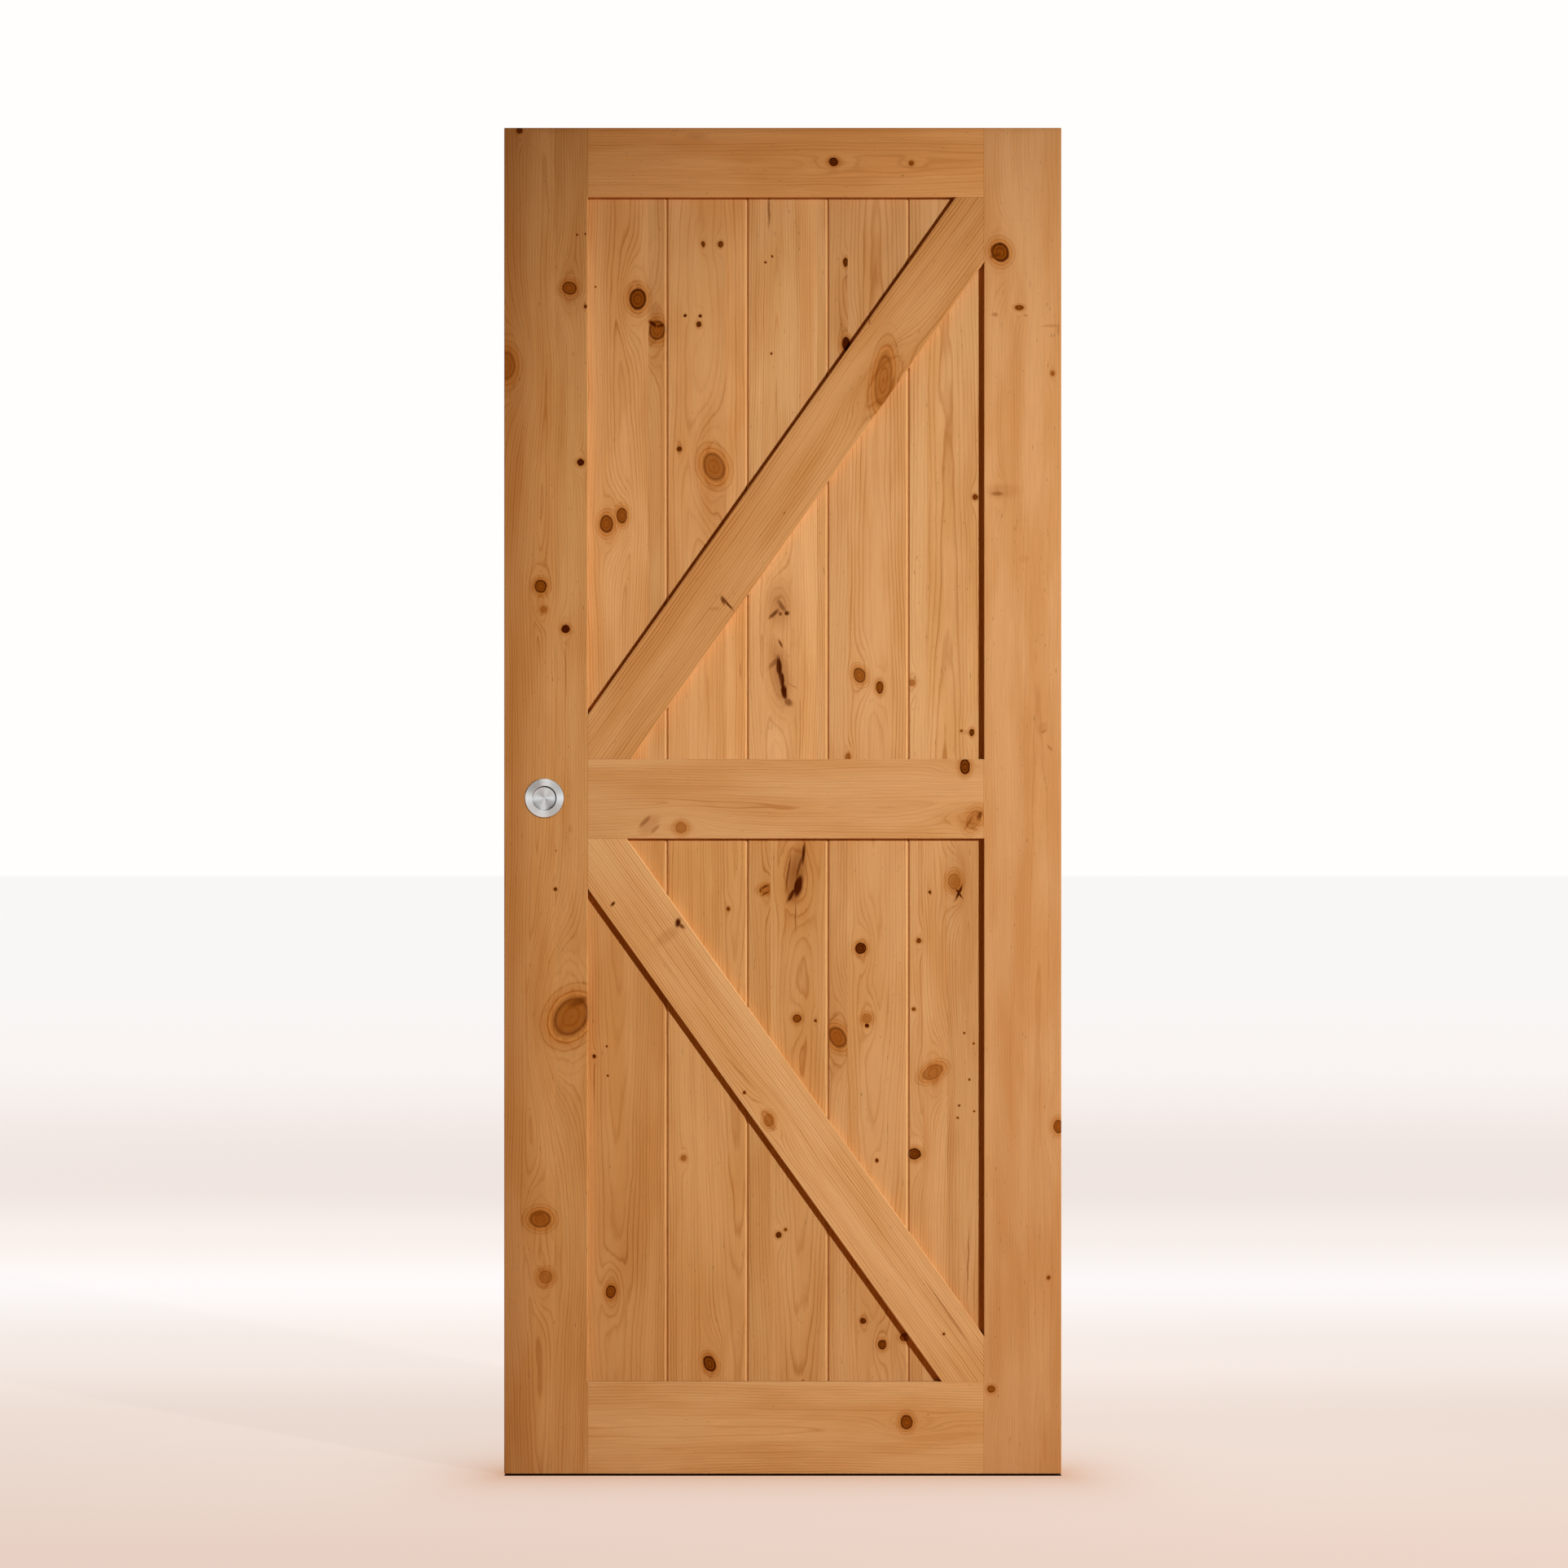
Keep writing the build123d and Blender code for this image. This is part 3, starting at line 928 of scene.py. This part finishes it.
def pine(name, wood):
    """Material of one board, with its knots, stains and glued strips."""
    board = BOARDS[name]
    material, g, shader = new_material("pine_" + name)
    coordinates = g.add("ShaderNodeTexCoord").outputs["Object"]
    turn = (0.0, math.radians(board.grain - UPRIGHT), 0.0)
    grain = g.group("warp", Object=coordinates, Turn=turn, Seed=board.seed)
    place, uneven = grain["Place"], grain["Uneven Place"]
    deeper = PLANK_SCALE if name in PLANKS else 1.0
    figure = add_strips(g, board, place)
    pith = along_grain(board.grain, board.pith, 0.0)[0] if board.grain == UPRIGHT else board.pith
    light = [a * b for a, b in zip(wood.light_wood, board.tone)]
    timber = g.group(
        "timber",
        Place=place,
        Stain=add_streaks(g, board, uneven, deeper),
        Seed=figure["Seed"],
        Strip_Tone=figure["Tone"],
        Pith=pith,
        Depth=board.depth,
        Taper=board.taper,
        Ring_Spacing=board.spacing * wood.ring_scale,
        Wander=board.wander,
        Line_Strength=board.lines * wood.line_strength,
        Wood=(*light, 1.0),
        Late_Wood=(*wood.late_wood, 1.0),
        Knot_Wood=(*wood.knot_wood, 1.0),
        Knot_Rim=(*wood.knot_rim, 1.0),
        **add_knots(g, board, uneven, deeper),
    )
    g.feed_by_name(
        shader,
        Base_Color=add_outlines(g, name, board, wood, coordinates, timber["Color"]),
        Roughness=timber["Roughness"],
        Normal=g.bump(timber["Height"], wood.relief, 0.0003),
        IOR=1.4,
        Specular_IOR_Level=0.03,
        Coat_Weight=wood.lacquer,
        Coat_Roughness=0.35,
    )
    return material


def brushed_steel(name, steel):
    """Material of one pull, brushed in circles round its middle."""
    material, g, shader = new_material("brushed_" + name)
    low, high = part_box(name)
    coordinates = g.add("ShaderNodeTexCoord").outputs["Object"]
    centre = tuple((low + high) / 2)
    brush = g.group("brush", Object=coordinates, Centre=centre, Pitch=steel.line_pitch)
    # the painted cup shadow darkens the steel's colour
    tone = g.times(brush["Tone"], g.times_plus(brush["Corner"], -0.92, 1.0))
    tangent = g.add("ShaderNodeTangent", direction_type="RADIAL", axis="Y")
    g.feed_by_name(
        shader,
        Base_Color=g.vector("SCALE", tuple(steel.steel), scale=tone),
        Roughness=brush["Roughness"],
        Metallic=1.0,
        Tangent=tangent.outputs[0],
        Anisotropic=steel.anisotropy,
        Anisotropic_Rotation=0.25,
        Normal=g.bump(brush["Height"], 0.12, 0.0001),
    )
    return material


def finish(names, make, settings):
    """Gives each of these nodes of the frame its own material."""
    for name in names:
        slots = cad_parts[name].material_slots
        if not slots:
            raise RuntimeError(f"{name} has no material slot")
        material = make(name, settings)
        for slot in slots:
            slot.material = material
    return {"FINISHED"}


def number(name, description, default, **options):
    return bpy.props.FloatProperty(name=name, description=description, default=default, **options)


def share(name, description, default):
    return number(name, description, default, min=0, max=1)


def length(name, description, default):
    return number(name, description, default, unit="LENGTH")


def tint(name, description, default):
    return bpy.props.FloatVectorProperty(
        name=name, description=description, default=default, subtype="COLOR", min=0, max=1
    )


class BarnDoorWood(bpy.types.PropertyGroup):
    light_wood: tint("Light wood", "Pine between the ring lines", (0.675, 0.347, 0.133))
    late_wood: tint("Late wood", "What the ring lines leave of it", (0.70, 0.54, 0.38))
    knot_wood: tint("Knot wood", "Inside of a knot", (0.30, 0.076, 0.005))
    # also the colour of the painted shadow round the pulls and of the darkest painted shade bands
    knot_rim: tint("Knot rim", "Dark rim and cracks of a knot", (0.058, 0.0075, 0.0003))
    ring_scale: number("Ring scale", "Widens or narrows all growth rings", 1.0, min=0.3, max=3)
    line_strength: share("Ring lines", "Strength of the ring lines", 0.95)
    lacquer: share("Lacquer", "Weight of the clear coat", 0.01)
    relief: share("Relief", "Strength of the grain's relief", 0.35)
    # the paler colour of the eased edges is a painted highlight, partly paleness from sanding
    sanded_and_highlit_wood: tint("Sanded and highlit wood", "What the eased edges lean to", (0.74, 0.43, 0.175))
    sanded_and_highlit_edge: share("Sanded and highlit edge", "How far the eased edges lean to it", 0.4)
    joint_line: length("Joint line", "Width of the shadow at a butt joint", 0.0011)


class BarnDoorSteel(bpy.types.PropertyGroup):
    steel: tint("Steel", "Colour of the brushed steel", (0.85, 0.87, 0.875))
    anisotropy: share("Anisotropy", "How far the brushing stretches reflections", 0.95)
    line_pitch: length("Line pitch", "Distance between brush lines", 0.0003)


class BarnDoorStage(bpy.types.PropertyGroup):
    camera_distance: length(
        "Camera distance", "From the middle of the door's thickness to the camera", 8.02
    )
    view_width: length("View width", "Width of the picture at the door's face", 2.5715)
    view_height: length("View height", "Height of the camera from the top edge", -1.0764)
    key_power: number("Key light", "Power of the lamp at the right", 4810.0, unit="POWER")
    edge_power: number("Edge light", "Power of the lamp beside the door", 37.0, unit="POWER")
    front_fill: number("Front fill", "Strength of the soft light from the front", 0.08, min=0)
    back_fill: number("Back fill", "Strength of the soft light from behind", 0.75, min=0)
    floor_drop: length("Floor gap", "Gap between the door and the floor", 0.003)


class BARNDOOR_OT_finish_frame(bpy.types.Operator):
    """Give the stiles and rails their pine"""

    bl_idname = "barn_door.finish_frame"
    bl_label = "Finish Stiles and Rails"

    def execute(self, context):
        return finish(FRAME_BOARDS, pine, context.scene.barn_door_wood)


class BARNDOOR_OT_finish_planks(bpy.types.Operator):
    """Give the tongue and groove planks their pine"""

    bl_idname = "barn_door.finish_planks"
    bl_label = "Finish Planks"

    def execute(self, context):
        return finish(PLANKS, pine, context.scene.barn_door_wood)


class BARNDOOR_OT_finish_braces(bpy.types.Operator):
    """Give the diagonal braces their pine"""

    bl_idname = "barn_door.finish_braces"
    bl_label = "Finish Braces"

    def execute(self, context):
        return finish(BRACES, pine, context.scene.barn_door_wood)


class BARNDOOR_OT_finish_pulls(bpy.types.Operator):
    """Brush the round flush pulls"""

    bl_idname = "barn_door.finish_pulls"
    bl_label = "Finish Pulls"

    def execute(self, context):
        return finish(PULLS, brushed_steel, context.scene.barn_door_steel)


FLOOR_HALF_SIZE = 40
FLOOR_CENTRE = 12  # behind the door, so that the floor reaches further back
FLOOR_NEAR = 1.2  # where the floor's colours begin, in front of the door
FLOOR_DEPTH = 29.2  # how far back they go
FLOOR_COLORS = (
    (0.0, (0.94, 0.745, 0.645, 1)),
    (0.062, (0.955, 0.82, 0.745, 1)),
    (0.10, (1.07, 0.98, 0.93, 1)),
    (0.145, (1.16, 1.13, 1.13, 1)),
    (0.185, (1.10, 1.03, 0.99, 1)),
    (0.235, (1.02, 0.93, 0.89, 1)),
    (0.45, (1.13, 1.09, 1.08, 1)),
    (0.70, (1.12, 1.12, 1.12, 1)),
    (1.0, (1.12, 1.12, 1.12, 1)),
)
# painted warm shade on the floor round the door's foot
PAINTED_SHADE_NEAR_DOOR = (0.84, 0.62, 0.48, 1)
# painted shadow: the colour of the floor under the door
PAINTED_SHADOW_UNDER_DOOR = (0.03, 0.02, 0.015, 1)
FLOOR_MATT = (0.8, 0.66, 0.54, 1)
FLOOR_BOUNCE = (0.8, 0.42, 0.12, 1)  # warmer, for the light that it throws on the wood


def floor_material(foot):
    """Pale floor that keeps the shadow of the door, which stands on the area of this half size,
    with painted warm shade round its foot and a painted shadow under it.
    """
    material = bpy.data.materials.new("pale_floor")
    g = emptied(material)
    place = g.add("ShaderNodeTexCoord").outputs["Object"]
    away = g.math("ABSOLUTE", g.plus(g.split(place)[1], FLOOR_NEAR))
    away = g.math("DIVIDE", away, FLOOR_DEPTH, clamp=True)
    shown = g.color_ramp(away, "EASE", FLOOR_COLORS, "Floor colour from near to far")
    offset = g.vector("ABSOLUTE", place)
    beyond = g.vector("MAXIMUM", g.vector("SUBTRACT", offset, foot), ORIGIN)
    distance = g.vector("LENGTH", g.vector("MULTIPLY", beyond, (1.0, 0.5, 0.0)))
    close = g.math("EXPONENT", g.times(distance, -14.0), label="Close to the door")
    glow = g.add("ShaderNodeEmission")
    # painted warm shade on the glowing floor close to the door
    g.feed(glow.inputs["Color"], g.mix(close, shown, g.tinted(shown, PAINTED_SHADE_NEAR_DOOR)))
    seen = g.add("ShaderNodeLightPath").outputs
    straight = g.math("MAXIMUM", seen["Is Camera Ray"], seen["Is Glossy Ray"])
    outside = g.math("GREATER_THAN", distance, 0.0, label="Not under the door")
    bounced = g.mix(seen["Is Diffuse Ray"], FLOOR_MATT, FLOOR_BOUNCE)
    solid = g.add("ShaderNodeBsdfDiffuse")
    # painted shadow: under the door the floor takes a near black colour
    g.feed(solid.inputs["Color"], g.mix(outside, PAINTED_SHADOW_UNDER_DOOR, bounced))
    glowing = g.times(g.times(straight, outside), 0.80)
    output = g.add("ShaderNodeOutputMaterial")
    both = g.mix_shaders(glowing, solid.outputs[0], glow.outputs[0])
    g.feed(output.inputs["Surface"], both)
    return material


def background(g, color, strength=1.0):
    node = g.add("ShaderNodeBackground")
    g.feed_by_name(node, Color=color, Strength=strength)
    return node.outputs[0]


def studio_world(stage):
    """White to the camera, soft light stronger behind the door, and softboxes to the steel."""
    world = bpy.data.worlds.new("studio")
    g = emptied(world)
    right, away, up = g.split(g.add("ShaderNodeTexCoord").outputs["Generated"])
    behind = g.ramp(away, 0.05, 0.45)
    strength = g.times_plus(behind, stage.back_fill - stage.front_fill, stage.front_fill)
    soft = background(g, g.mix(behind, (1.0, 0.36, 0.05, 1), (1.0, 0.97, 0.93, 1)), strength)

    spread = g.plus(g.times(right, right), g.times(up, up))
    corner = g.times(g.times(right, up), 2.0)
    corner = g.math("DIVIDE", corner, g.math("MAXIMUM", spread, 0.0001))
    corner = g.ramp(g.math("ABSOLUTE", corner, label="Between the softboxes"), 0.15, 0.85)
    left = g.ramp(right, 0.04, -0.12)
    gap = g.times(corner, g.times_plus(left, 0.15, 0.90))
    shine = background(g, (1.0, 1.0, 0.99, 1), g.minus(g.times_plus(left, -0.15, 1.2), gap))

    seen = g.add("ShaderNodeLightPath").outputs
    mirrored = g.minus(seen["Is Glossy Ray"], behind, clamp=True)
    lit = g.mix_shaders(mirrored, soft, shine)
    white = background(g, (1.0, 0.99, 0.975, 1))
    output = g.add("ShaderNodeOutputWorld")
    g.feed(output.inputs["Surface"], g.mix_shaders(seen["Is Camera Ray"], lit, white))
    bpy.context.scene.world = world


LAMP_COLOR = (0.90, 0.95, 1.0)


def new_lamp(name, kind, place, target, power, **settings):
    """A lamp that stands at one place and shines at another, and isn't mirrored in the steel."""
    lamp = bpy.data.lights.new(name, kind)
    lamp.energy = power
    lamp.color = LAMP_COLOR
    for key, value in settings.items():
        setattr(lamp, key, value)
    holder = bpy.data.objects.new(name, lamp)
    holder.location = place
    aim = Vector(target) - Vector(place)
    holder.rotation_euler = aim.to_track_quat("-Z", "Y").to_euler()
    holder.visible_glossy = False
    bpy.context.scene.collection.objects.link(holder)


def new_camera(stage, face_y):
    """Level camera whose picture is as wide as the view where the door's face is."""
    camera = bpy.data.cameras.new("camera")
    camera.sensor_width = 36
    camera.lens = camera.sensor_width * (stage.camera_distance + face_y) / stage.view_width
    camera.clip_end = 200
    holder = bpy.data.objects.new("camera", camera)
    holder.location = (0.002, -stage.camera_distance, stage.view_height)
    holder.rotation_euler = (math.radians(90), 0, 0)
    bpy.context.scene.collection.objects.link(holder)
    bpy.context.scene.camera = holder


class BARNDOOR_OT_set_stage(bpy.types.Operator):
    """Put the door in a plain pale studio, with its camera and lamps"""

    bl_idname = "barn_door.set_stage"
    bl_label = "Set the Stage"

    def execute(self, context):
        stage = context.scene.barn_door_stage
        low, high = cad_box

        mesh = bpy.data.meshes.new("floor")
        plane = bmesh.new()
        bmesh.ops.create_grid(plane, x_segments=2, y_segments=2, size=FLOOR_HALF_SIZE)
        floor_place = (0, FLOOR_CENTRE, low.z - stage.floor_drop)
        bmesh.ops.translate(plane, verts=plane.verts, vec=floor_place)
        plane.to_mesh(mesh)
        plane.free()
        floor = bpy.data.objects.new("floor", mesh)
        mesh.materials.append(floor_material((high - low) / 2))
        context.scene.collection.objects.link(floor)

        studio_world(stage)
        new_lamp(
            "key_lamp", "SPOT", place=(6.2, -8.2, 1.5), target=(0.38, 0, -1.12),
            power=stage.key_power, shadow_soft_size=0.15, spot_size=math.radians(19.2),
            spot_blend=1.0,
        )
        new_lamp(
            "edge_lamp", "AREA", place=(3.4, -0.55, -0.9), target=(0, 0, -1.1),
            power=stage.edge_power, shape="RECTANGLE", size=0.4, size_y=2.4,
        )
        new_camera(stage, low.y)
        context.scene.view_settings.view_transform = "Standard"
        return {"FINISHED"}


OPERATORS = (
    BARNDOOR_OT_finish_frame,
    BARNDOOR_OT_finish_planks,
    BARNDOOR_OT_finish_braces,
    BARNDOOR_OT_finish_pulls,
    BARNDOOR_OT_set_stage,
)
SETTINGS = {
    "barn_door_wood": BarnDoorWood,
    "barn_door_steel": BarnDoorSteel,
    "barn_door_stage": BarnDoorStage,
}


class BARNDOOR_PT_panel(bpy.types.Panel):
    """Finish and studio of the barn door"""

    bl_idname = "BARNDOOR_PT_panel"
    bl_label = "Barn Door"
    bl_space_type = "VIEW_3D"
    bl_region_type = "UI"
    bl_category = "Barn Door"

    def draw(self, context):
        for settings in SETTINGS:
            box = self.layout.box()
            group = getattr(context.scene, settings)
            for key in group.__annotations__:
                box.prop(group, key)
        for operator in OPERATORS:
            self.layout.operator(operator.bl_idname)


CLASSES = (*SETTINGS.values(), *OPERATORS, BARNDOOR_PT_panel)


def register():
    for cls in CLASSES:
        bpy.utils.register_class(cls)
    for name, cls in SETTINGS.items():
        setattr(bpy.types.Scene, name, bpy.props.PointerProperty(type=cls))


def unregister():
    for name in SETTINGS:
        delattr(bpy.types.Scene, name)
    for cls in reversed(CLASSES):
        bpy.utils.unregister_class(cls)


def main():
    register()
    bpy.ops.barn_door.finish_frame()
    bpy.ops.barn_door.finish_planks()
    bpy.ops.barn_door.finish_braces()
    bpy.ops.barn_door.finish_pulls()
    bpy.ops.barn_door.set_stage()


if __name__ == "__main__":
    main()
